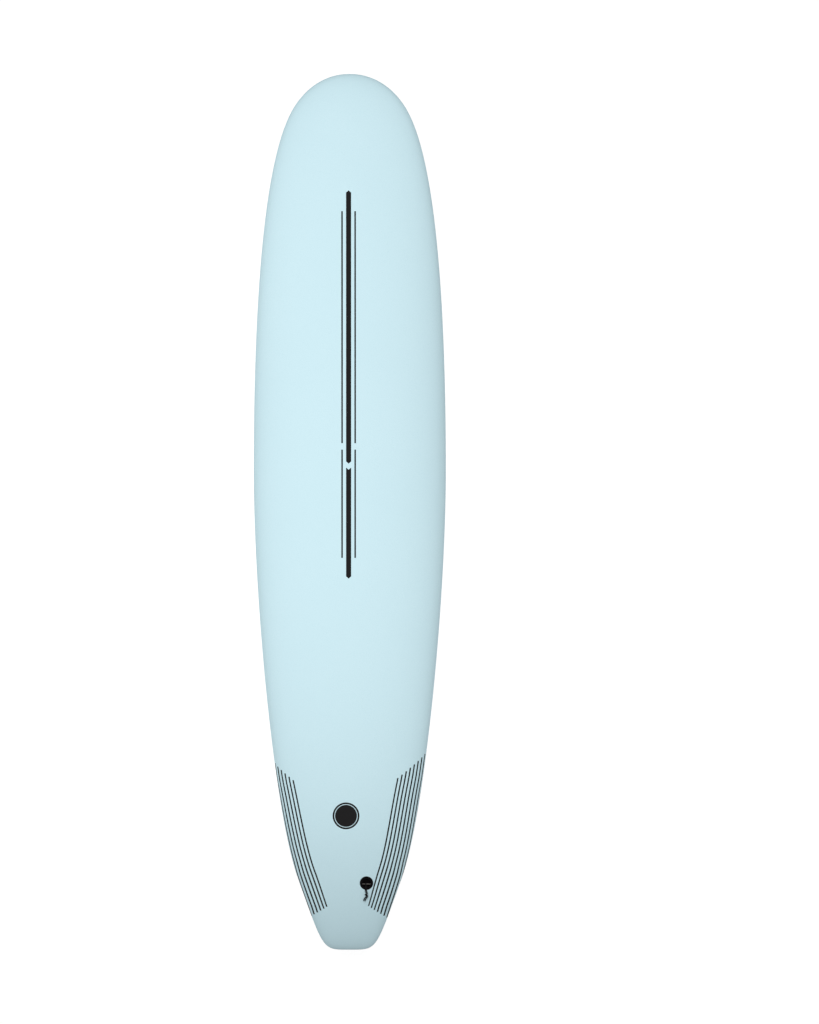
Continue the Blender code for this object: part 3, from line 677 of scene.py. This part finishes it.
# Fin boxes: three glass-filled nylon mouldings, glued into routed foam with their flanges level
# with the slick. Each has two tab sockets, and beside each socket a hole for a grub screw.
FLANGE, FLANGE_ROUND = 0.0035, 0.0005
RISE_INTO_FLANGE = 0.001
CUP_SIZE, CUP_CORNER, BOX_DEPTH = (0.026, 0.046), 0.006, 0.0185
KEEL_DEPTH, KEEL_WIDTH, RIB_AT, RIB_THICKNESS = 0.013, 0.006, 0.007, 0.003
TAB_SPACING = 0.068
SOCKET_SIZE, SOCKET_CORNER, SOCKET_DEPTH = (0.007, 0.017), 0.001, 0.0155
SCREW_X, SCREW_LEAN, HOLE_RADIUS, HOLE_DEPTH = 0.0095, math.radians(20), 0.0028, 0.0135
MOUTH_CHAMFER, CUTTER_REACH = 0.0004, 0.005
BOX_BLACKS, BOX_SHINE = ((0.006, 0.006, 0.0065), (0.010, 0.010, 0.0105)), 0.1
SPARK_SIZE, SPARK_DEPTH, FLOW_SIZE = 0.0005, 0.00006, 0.012


def black_nylon(name, deep, pale, shine_level):
    """A moulded nylon with a spark-eroded grain, whose black clouds along the flow marks."""
    nylon = new_finish(name, deep, 0.42)
    shine(nylon, shine_level)
    on_nylon = board_place(nylon)
    spark_grain = noise(nylon, on_nylon, SPARK_SIZE, 3.0)
    flow_marks = between(nylon, noise(nylon, on_nylon, FLOW_SIZE), 0.3, 0.7)
    paint(nylon, blend_colours(nylon, flow_marks, deep, pale))
    dull(nylon, between(nylon, spark_grain, -1.2, 3.0))
    emboss(nylon, spark_grain, SPARK_DEPTH)
    return nylon


box_nylon = black_nylon("black box nylon", *BOX_BLACKS, BOX_SHINE)


def faces_up(face):
    return face.normal.z > 0.9


def flare_top(piece, chamfer, reach):
    """Widens the top face over a chamfer, and takes it up by a reach: the mouth of a cutter."""
    open_with(piece, "FACE", faces_up)
    size = piece.dimensions
    middle = sum((Vector(c) for c in piece.bound_box), Vector()) / 8
    factor = (1 + 2 * chamfer / size.x, 1 + 2 * chamfer / size.y, 1.0)
    bpy.ops.mesh.extrude_region_move(TRANSFORM_OT_translate={"value": (0.0, 0.0, chamfer)})
    bpy.ops.transform.resize(value=factor, center_override=middle)
    bpy.ops.mesh.extrude_region_move(TRANSFORM_OT_translate={"value": (0.0, 0.0, reach)})
    bpy.ops.object.mode_set(mode="OBJECT")


def socket_cutter(y):
    depth = SOCKET_DEPTH - MOUTH_CHAMFER
    centre = (0.0, y, -MOUTH_CHAMFER - depth / 2)
    cutter = block((*SOCKET_SIZE, depth), centre, SOCKET_CORNER, 4)
    flare_top(cutter, MOUTH_CHAMFER, CUTTER_REACH)
    return cutter


def screw_cutter(y):
    bpy.ops.object.select_all(action="DESELECT")
    bpy.ops.mesh.primitive_cylinder_add(
        vertices=40, radius=HOLE_RADIUS, depth=HOLE_DEPTH * 2
    )
    cutter = bpy.context.object
    lean = Matrix.Rotation(SCREW_LEAN, 4, "Y")
    cutter.data.transform(Matrix.Translation((SCREW_X, y, 0.0)) @ lean)
    return cutter


def copy_of(piece):
    """A copy with its own mesh, left selected and active."""
    pick(piece)
    bpy.ops.object.duplicate()
    return bpy.context.object


flange = block((*BOX_SIZE, FLANGE), (0.0, 0.0, -FLANGE / 2), BOX_CORNER, 12)
open_with(flange, "FACE", faces_up)
bpy.ops.mesh.region_to_loop()
bpy.ops.mesh.bevel(offset=FLANGE_ROUND, segments=3, affect="EDGES")
bpy.ops.object.mode_set(mode="OBJECT")
under = FLANGE - RISE_INTO_FLANGE
joined = [block((KEEL_WIDTH, TAB_SPACING, KEEL_DEPTH - under), (0, 0, -(KEEL_DEPTH + under) / 2))]
rib_length = CUP_SIZE[0] - 2 * CUP_CORNER
for y in (-RIB_AT, RIB_AT):
    size = (rib_length, RIB_THICKNESS, KEEL_DEPTH - under)
    joined.append(block(size, (0, y, -(KEEL_DEPTH + under) / 2)))
for y in (-TAB_SPACING / 2, TAB_SPACING / 2):
    size = (*CUP_SIZE, BOX_DEPTH - under)
    joined.append(block(size, (0, y, -(BOX_DEPTH + under) / 2), CUP_CORNER))
cut_away(flange, *joined, operation="UNION")
for y in (-TAB_SPACING / 2, TAB_SPACING / 2):
    cut_away(flange, socket_cutter(y), screw_cutter(y))
for side, box_place in box_places.items():
    fin_box = copy_of(flange)
    new_piece(f"fin_box_{side}_moulding", box_nylon)
    fin_box.data.transform(box_place)
    smooth(fin_box)
    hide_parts(f"fin_box_{side}")
bpy.data.objects.remove(flange)


# Grub screws: six headless M5 screws of stainless steel, two in each fin box, which clamp a fin's
# tabs. Each has a rolled thread, a chamfered point and a hex socket, and turns on its own axis.
THREAD_RADIUS, THREAD_PITCH, THREAD_DEPTH = 0.0025, 0.0008, 0.00038
FLANK_SLOPE = 1.3  # above 1, which leaves the thread a flat root
SCREW_LENGTH, POINT_LENGTH, TOP_CHAMFER = 0.008, 0.00125, 0.0005
KEY_ACROSS_FLATS, KEY_DEPTH = 0.0025, 0.0035
THREAD_SIDES, THREAD_ROWS = 36, 100
STEEL = (0.46, 0.46, 0.445)
MARK_SIZE, MARK_DEPTH = 0.0004, 0.00001

stainless = new_finish("stainless steel", STEEL, 0.32, 1.0)
turning_marks = noise(stainless, board_place(stainless), MARK_SIZE)
dull(stainless, between(stainless, turning_marks, -1.0, 3.6))
emboss(stainless, turning_marks, MARK_DEPTH)


def thread_radius(turn, z):
    """The screw's radius at a share of a turn and a height from its foot."""
    phase = (z / THREAD_PITCH - turn) % 1.0
    cut = min(1.0, FLANK_SLOPE * abs(1 - 2 * phase))
    blank = THREAD_RADIUS
    blank = min(blank, THREAD_RADIUS - TOP_CHAMFER + (SCREW_LENGTH - z))
    blank = min(blank, THREAD_RADIUS - POINT_LENGTH + z)
    return min(blank, THREAD_RADIUS - THREAD_DEPTH * cut)


bpy.ops.object.select_all(action="DESELECT")
bpy.ops.mesh.primitive_grid_add(
    x_subdivisions=THREAD_SIDES, y_subdivisions=THREAD_ROWS, size=1.0
)
screw_blank = bpy.context.object
for number, vertex in enumerate(screw_blank.data.vertices):
    turn = number % (THREAD_SIDES + 1) / THREAD_SIDES
    z = number // (THREAD_SIDES + 1) / THREAD_ROWS * SCREW_LENGTH
    radius = thread_radius(turn, z)
    angle = turn * 2 * math.pi
    vertex.co = (radius * math.cos(angle), radius * math.sin(angle), z - SCREW_LENGTH / 2)
bpy.ops.object.mode_set(mode="EDIT")
bpy.ops.mesh.select_all(action="SELECT")
bpy.ops.mesh.remove_doubles(threshold=MICRON)
bpy.ops.object.mode_set(mode="OBJECT")
for way in (-1, 1):
    open_with(screw_blank, "EDGE", lambda edge: edge.is_boundary and edge.verts[0].co.z * way > 0)
    bpy.ops.mesh.edge_face_add()
    bpy.ops.object.mode_set(mode="OBJECT")
bpy.ops.object.mode_set(mode="EDIT")
bpy.ops.mesh.select_all(action="SELECT")
bpy.ops.mesh.normals_make_consistent(inside=False)
bpy.ops.object.mode_set(mode="OBJECT")
bpy.ops.object.select_all(action="DESELECT")
bpy.ops.mesh.primitive_cylinder_add(
    vertices=6,
    radius=KEY_ACROSS_FLATS / math.sqrt(3),
    depth=KEY_DEPTH * 2,
    location=(0.0, 0.0, SCREW_LENGTH / 2),
)
bpy.ops.object.transform_apply()
cut_away(screw_blank, bpy.context.object)
for joint in frame["joints"]:
    inward = Vector(joint["axis"])
    place = inward.to_track_quat("-Z", "Y").to_matrix().to_4x4()
    place.translation = Vector(joint["pos_m"])
    screw = copy_of(screw_blank)
    new_piece(f"{joint['child']}_thread", stainless, joint["child"])
    screw.data.transform(place)
    smooth(screw, 30)
    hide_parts(joint["child"])
bpy.data.objects.remove(screw_blank)


# Leash plug: a moulded nylon cup with a flange level with the deck and a groove round its foot,
# which the glue keys into. Two holes through its wall hold the pin.
PLUG_RADIUS, CUP_RADIUS, BORE_RADIUS = 0.021, 0.0165, 0.0138
PLUG_DEPTH, PLUG_FLOOR, PLUG_ROUND = 0.021, 0.0025, 0.0007
GROOVE_FOOT, GROOVE_TOP, GROOVE_DEPTH, GROOVE_BEVEL = -0.0175, -0.0125, 0.0015, 0.001
PIN_RADIUS, PIN_DROP, PIN_AFT, PIN_LENGTH = 0.0025, 0.0085, 0.003, 0.030
PIN_HOLE_RADIUS, PIN_HOLE_REACH = 0.0028, 0.05
PLUG_BLACKS, PLUG_SHINE = ((0.002, 0.0018, 0.0023), (0.004, 0.0037, 0.0045)), 0.03
PLUG_RINGS = (
    (CUP_RADIUS, -PLUG_DEPTH),
    (CUP_RADIUS, GROOVE_FOOT),
    (CUP_RADIUS - GROOVE_DEPTH, GROOVE_FOOT + GROOVE_BEVEL),
    (CUP_RADIUS - GROOVE_DEPTH, GROOVE_TOP - GROOVE_BEVEL),
    (CUP_RADIUS, GROOVE_TOP),
    (CUP_RADIUS, -DECK_SKIN),
    (PLUG_RADIUS, -DECK_SKIN),
    (PLUG_RADIUS, 0.0),
    (BORE_RADIUS, 0.0),
    (BORE_RADIUS, PLUG_FLOOR - PLUG_DEPTH),
)


def turned(rings, sides):
    """A closed turned shape, raised ring by ring from a disc at its foot."""
    bpy.ops.object.select_all(action="DESELECT")
    radius, z = rings[0]
    bpy.ops.mesh.primitive_circle_add(
        vertices=sides, radius=radius, fill_type="NGON", location=(0.0, 0.0, z)
    )
    bpy.ops.object.transform_apply()
    bpy.ops.object.mode_set(mode="EDIT")
    bpy.ops.mesh.select_all(action="SELECT")
    for next_radius, next_z in rings[1:]:
        bpy.ops.mesh.extrude_region_move(
            TRANSFORM_OT_translate={"value": (0.0, 0.0, next_z - z)}
        )
        factor = next_radius / radius
        bpy.ops.transform.resize(value=(factor, factor, 1.0), center_override=(0.0, 0.0, next_z))
        radius, z = next_radius, next_z
    bpy.ops.mesh.select_all(action="SELECT")
    bpy.ops.mesh.normals_make_consistent(inside=False)
    bpy.ops.object.mode_set(mode="OBJECT")
    return bpy.context.object


plug_nylon = black_nylon("black plug nylon", *PLUG_BLACKS, PLUG_SHINE)
plug_cup = turned(PLUG_RINGS, 96)
new_piece("leash_plug_cup", plug_nylon)
apply_modifier(
    plug_cup,
    "BEVEL",
    width=PLUG_ROUND,
    segments=3,
    limit_method="ANGLE",
    angle_limit=math.radians(40),
)
pin_turn = Matrix.Rotation(math.pi / 2, 4, "Y")
pin_place = Matrix.Translation((0.0, -PIN_AFT, -PIN_DROP)) @ pin_turn
bpy.ops.object.select_all(action="DESELECT")
bpy.ops.mesh.primitive_cylinder_add(vertices=48, radius=PIN_HOLE_RADIUS, depth=PIN_HOLE_REACH)
pin_hole = bpy.context.object
pin_hole.data.transform(pin_place)
cut_away(plug_cup, pin_hole)
apply_modifier(plug_cup, "WELD", merge_threshold=MICRON)
plug_cup.data.transform(plug_place)
smooth(plug_cup)
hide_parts("leash_plug")


# Leash pin: a rod of stainless steel, pressed through the cup's wall, its colour darkened to paint the
# shade deep in the cup. The string is doubled over it, and its ends are chamfered.
PIN_HALF, PIN_CHAMFER = PIN_LENGTH / 2, 0.0004
PIN_RINGS = (
    (PIN_RADIUS - PIN_CHAMFER, -PIN_HALF),
    (PIN_RADIUS, PIN_CHAMFER - PIN_HALF),
    (PIN_RADIUS, PIN_HALF - PIN_CHAMFER),
    (PIN_RADIUS - PIN_CHAMFER, PIN_HALF),
)
# The steel's colour is darkened far below bright stainless: painted shade of the deep cup.
STEEL_DARKENED_FOR_SHADE = (0.075, 0.072, 0.068)

shaded_pin_steel = new_finish("steel darkened for cup shade", STEEL_DARKENED_FOR_SHADE, 0.5, 1.0)
pin = turned(PIN_RINGS, 48)
new_piece("leash_pin_rod", shaded_pin_steel)
pin.data.transform(plug_place @ pin_place)
smooth(pin)
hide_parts("leash_pin")


# Leash string: braided black polyester cord, 3 mm thick and doubled over the pin. Its two legs go
# out side by side over the rim, the right one takes a hitch round the left one, and both tails,
# cut and sealed, stand just off the deck.
STRING_RADIUS, TURN_SLACK = 0.0015, 0.0006
STRAND_SPACING, TAIL_SPACING = 0.0035, 0.0039
TURN_RADIUS = PIN_RADIUS + STRING_RADIUS + TURN_SLACK
TURN_FROM, TURN_TO, TURN_STEPS = math.radians(60), math.radians(-156), 4
LEFT_LEG_IN_CUP = ((-0.0026, -0.0072, -0.0011), (-0.0034, -0.0128, 0.0016))
RIGHT_LEG_IN_CUP = ((0.0008, -0.0113, -0.0016), (0.0001, -0.0133, 0.0018))
PAIR_OUT = (
    (-0.0018, -0.0178, 0.0023),
    (-0.0016, -0.0240, 0.0025),
    (-0.0004, -0.0290, 0.0038),
)
HITCHED_LEG = ((-0.0009, -0.0337, 0.0054), (-0.0006, -0.0388, 0.0056))
HITCH_FROM, HITCH_TO, HITCH_STEPS = math.radians(25), math.radians(335), 6
HITCH_RADIUS = 0.0036
PAIR_TAILS = (
    (0.0010, -0.0424, 0.0051),
    (-0.0022, -0.0459, 0.0045),
    (-0.0046, -0.0491, 0.0043),
    (-0.0062, -0.0525, 0.0044),
    (-0.0071, -0.0560, 0.0046),
)
STRING_STEPS, STRING_SIDES, TUBE_MERGE = 8, 24, 0.0000005
SEALED, SEAL_SHARES, CLEAR_OF_SEAL = 0.0009, (0.08, 0.3, 0.65, 1.0), 1.2
BRAID_STRANDS, BRAID_PITCH, BRAID_DEPTH = 8, 0.0021, 0.0002
CORD_GROOVE_SHADE, CORD_PALE = (0.001, 0.001, 0.0012), (0.006, 0.006, 0.0064)
CORD_BLACK, CORD_SHINE = (0.006, 0.006, 0.0065), 0.12

braid = new_finish("braided cord", CORD_BLACK, 0.75)
shine(braid, CORD_SHINE)
braid_uv = add_node(braid, "ShaderNodeUVMap", {}, uv_map="braid").outputs["UV"]
braid_at = add_node(braid, "ShaderNodeSeparateXYZ", {"Vector": braid_uv})
strand_round = maths(braid, "MULTIPLY", braid_at.outputs["X"], BRAID_STRANDS * math.pi)
strand_along = maths(braid, "MULTIPLY", braid_at.outputs["Y"], math.pi / BRAID_PITCH)
both_ways = []
for way in ("ADD", "SUBTRACT"):
    wave = maths(braid, "SINE", maths(braid, way, strand_round, strand_along))
    both_ways.append(maths(braid, "ABSOLUTE", wave))
strand_height = between(braid, either(braid, *both_ways), 0.6, 1.0)
# Between the strands the cord is painted darker: painted shade in the braid's grooves.
paint(braid, blend_colours(braid, strand_height, CORD_GROOVE_SHADE, CORD_PALE))
emboss(braid, strand_height, BRAID_DEPTH)


def smooth_route(route, steps):
    """The route's points with more between them, on one smooth curve."""
    ends = [route[0] * 2 - route[1], *route, route[-1] * 2 - route[-2]]
    points = []
    for before, near, far, after in zip(ends, ends[1:], ends[2:], ends[3:]):
        leaving = near + (far - before) / 6
        arriving = far - (after - near) / 6
        points += interpolate_bezier(near, leaving, arriving, far, steps + 1)[:-1]
    return [*points, route[-1]]


def with_round_ends(points):
    """The points with a few more near both ends, where the sealed tip is round."""
    for _ in range(2):
        first, second = points[0], points[1]
        way = (second - first).normalized()
        extra = [first + way * SEALED * share for share in SEAL_SHARES]
        rest = [point for point in points[1:] if (point - first).length > SEALED * CLEAR_OF_SEAL]
        points = [first, *extra, *rest][::-1]
    return points


def tube(points, radius, sides):
    """A closed tube with round ends and a braid map: turns round it, and metres along it."""
    run = runs_along(points)
    rings = []
    tangent = (points[1] - points[0]).normalized()
    side_way = tangent.orthogonal().normalized()
    for number, point in enumerate(points):
        near, far = points[max(number - 1, 0)], points[min(number + 1, len(points) - 1)]
        turned_tangent = (far - near).normalized()
        side_way.rotate(tangent.rotation_difference(turned_tangent))
        tangent = turned_tangent
        other_way = tangent.cross(side_way)
        from_end = min(run[number], run[-1] - run[number], SEALED) / SEALED
        width = radius * math.sqrt(1 - (1 - from_end) ** 2)
        ring = []
        for step in range(sides + 1):
            angle = step / sides * 2 * math.pi
            ring.append(point + (side_way * math.cos(angle) + other_way * math.sin(angle)) * width)
        rings.append(ring)
    bpy.ops.object.select_all(action="DESELECT")
    bpy.ops.mesh.primitive_grid_add(
        x_subdivisions=sides, y_subdivisions=len(rings) - 1, size=1.0
    )
    made = bpy.context.object
    braid_map = made.data.uv_layers[0]
    braid_map.name = "braid"
    for loop, corner in zip(made.data.loops, braid_map.data):
        row, step = divmod(loop.vertex_index, sides + 1)
        corner.uv = (step / sides, run[row])
    for number, vertex in enumerate(made.data.vertices):
        row, step = divmod(number, sides + 1)
        vertex.co = rings[row][step]
    bpy.ops.object.mode_set(mode="EDIT")
    bpy.ops.mesh.select_all(action="SELECT")
    bpy.ops.mesh.remove_doubles(threshold=TUBE_MERGE)
    bpy.ops.mesh.normals_make_consistent(inside=False)
    bpy.ops.object.mode_set(mode="OBJECT")
    return made


def strand_beside(middles, shift):
    """The middles of the pair, moved along the deck onto one of its two strands."""
    middles = [Vector(middle) for middle in middles]
    behind = [middles[0], *middles]
    ahead = [*middles[1:], middles[-1]]
    strand = []
    for middle, near, far in zip(middles, behind, ahead):
        strand.append(middle + Vector((0.0, 0.0, 1.0)).cross(far - near).normalized() * shift)
    return strand


round_pin = []
for step in range(TURN_STEPS + 1):
    share = step / TURN_STEPS
    angle = TURN_FROM + (TURN_TO - TURN_FROM) * share
    across = STRAND_SPACING * (share - 0.5)
    aft = TURN_RADIUS * math.cos(angle) - PIN_AFT
    round_pin.append((across, aft, TURN_RADIUS * math.sin(angle) - PIN_DROP))

hitch_near, hitch_far = (Vector(point) for point in HITCHED_LEG)
hitch_way = (hitch_far - hitch_near).normalized()
hitch_side = Vector((0.0, 0.0, 1.0)).cross(hitch_way).normalized()
hitch_up = hitch_way.cross(hitch_side)
hitch = []
for step in range(HITCH_STEPS + 1):
    share = step / HITCH_STEPS
    angle = HITCH_FROM + (HITCH_TO - HITCH_FROM) * share
    around = hitch_side * math.cos(angle) + hitch_up * math.sin(angle)
    hitch.append(hitch_near.lerp(hitch_far, share) + around * HITCH_RADIUS)

tails = (HITCHED_LEG[1], *PAIR_TAILS)
left_leg = [*LEFT_LEG_IN_CUP, *strand_beside(PAIR_OUT, -STRAND_SPACING / 2), *HITCHED_LEG]
left_leg += strand_beside(tails, -TAIL_SPACING / 2)[1:]
right_leg = [*RIGHT_LEG_IN_CUP, *strand_beside(PAIR_OUT, STRAND_SPACING / 2), *hitch]
right_leg += strand_beside(tails, TAIL_SPACING / 2)[1:]
route = [plug_place @ Vector(point) for point in (*reversed(left_leg), *round_pin, *right_leg)]
string_route = with_round_ends(smooth_route(route, STRING_STEPS))
string = tube(string_route, STRING_RADIUS, STRING_SIDES)
new_piece("leash_string_braid", braid)
smooth(string, 60)
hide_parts("leash_string")


# Studio: a pale floor under the board, one long soft lamp above it, an even white sky, and a
# camera that looks straight down with the nose up.
FLOOR_WHITE, FLOOR_SIZE, FLOOR_DROP = (0.93, 0.93, 0.93), 16.0, 0.0004
# The floor glows for this share of what it shows, enough to bring its dim far parts up to white.
# The rest of it is lit, and keeps the board's shadow
GLOW_SHARE, GLOW_STRENGTH = 0.6, 1.42
SKY_LIGHT, SKY_GLOW = 0.4, 0.6
LAMP_AT, LAMP_SIZE, LAMP_WATTS = (-0.16, 0.26, 0.72), (1.4, 2.96), 11.8
FRAME_MIDDLE, FRAME_HEIGHT = (0.1873, 0.0004), 1024 * 0.0031432
CAMERA_HEIGHT, CAMERA_SENSOR = 30.0, 36.0


def on_seen_rays(finish):
    """1 for what the camera sees straight on, in a reflection or through something."""
    rays = add_node(finish, "ShaderNodeLightPath", {})
    kinds = ("Is Camera Ray", "Is Glossy Ray", "Is Transmission Ray")
    return either(finish, *(rays.outputs[kind] for kind in kinds))


bpy.ops.object.select_all(action="DESELECT")
bpy.ops.mesh.primitive_plane_add(size=FLOOR_SIZE, location=(0.0, 0.0, -FLOOR_DROP))
floor = bpy.context.object
floor.name = "floor"
pale_floor = new_finish("pale floor", FLOOR_WHITE, 0.9)
shine(pale_floor, 0.0)
floor.data.materials.append(pale_floor)
floor_shader = pale_floor.node_tree.nodes["Principled BSDF"]
floor_glow = add_node(pale_floor, "ShaderNodeEmission", {"Strength": GLOW_STRENGTH})
glow_share = maths(pale_floor, "MULTIPLY", on_seen_rays(pale_floor), GLOW_SHARE)
floor_mix = add_node(
    pale_floor,
    "ShaderNodeMixShader",
    {0: glow_share, 1: floor_shader.outputs[0], 2: floor_glow.outputs[0]},
)
floor_output = pale_floor.node_tree.nodes["Material Output"]
feed(pale_floor, floor_output.inputs["Surface"], floor_mix.outputs[0])

sky = bpy.data.worlds.new("even sky")
sky.use_nodes = True
bpy.context.scene.world = sky
sky_strength = maths(sky, "MULTIPLY_ADD", on_seen_rays(sky), SKY_GLOW, SKY_LIGHT)
sky_shader = sky.node_tree.nodes["Background"]
sky_shader.inputs["Color"].default_value = (1.0, 1.0, 1.0, 1.0)
feed(sky, sky_shader.inputs["Strength"], sky_strength)

bpy.ops.object.light_add(type="AREA", location=LAMP_AT)
lamp = bpy.context.object
lamp.name = "soft lamp"
lamp.data.shape = "RECTANGLE"
lamp.data.size, lamp.data.size_y = LAMP_SIZE
lamp.data.energy = LAMP_WATTS
lamp.visible_camera = False

bpy.ops.object.camera_add(location=(*FRAME_MIDDLE, CAMERA_HEIGHT))
camera = bpy.context.object
camera.name = "camera"
camera.data.sensor_width = CAMERA_SENSOR
camera.data.lens = CAMERA_SENSOR * CAMERA_HEIGHT / FRAME_HEIGHT
camera.data.clip_start = 1.0
camera.data.clip_end = 100.0
bpy.context.scene.camera = camera
bpy.context.scene.view_settings.view_transform = "Standard"
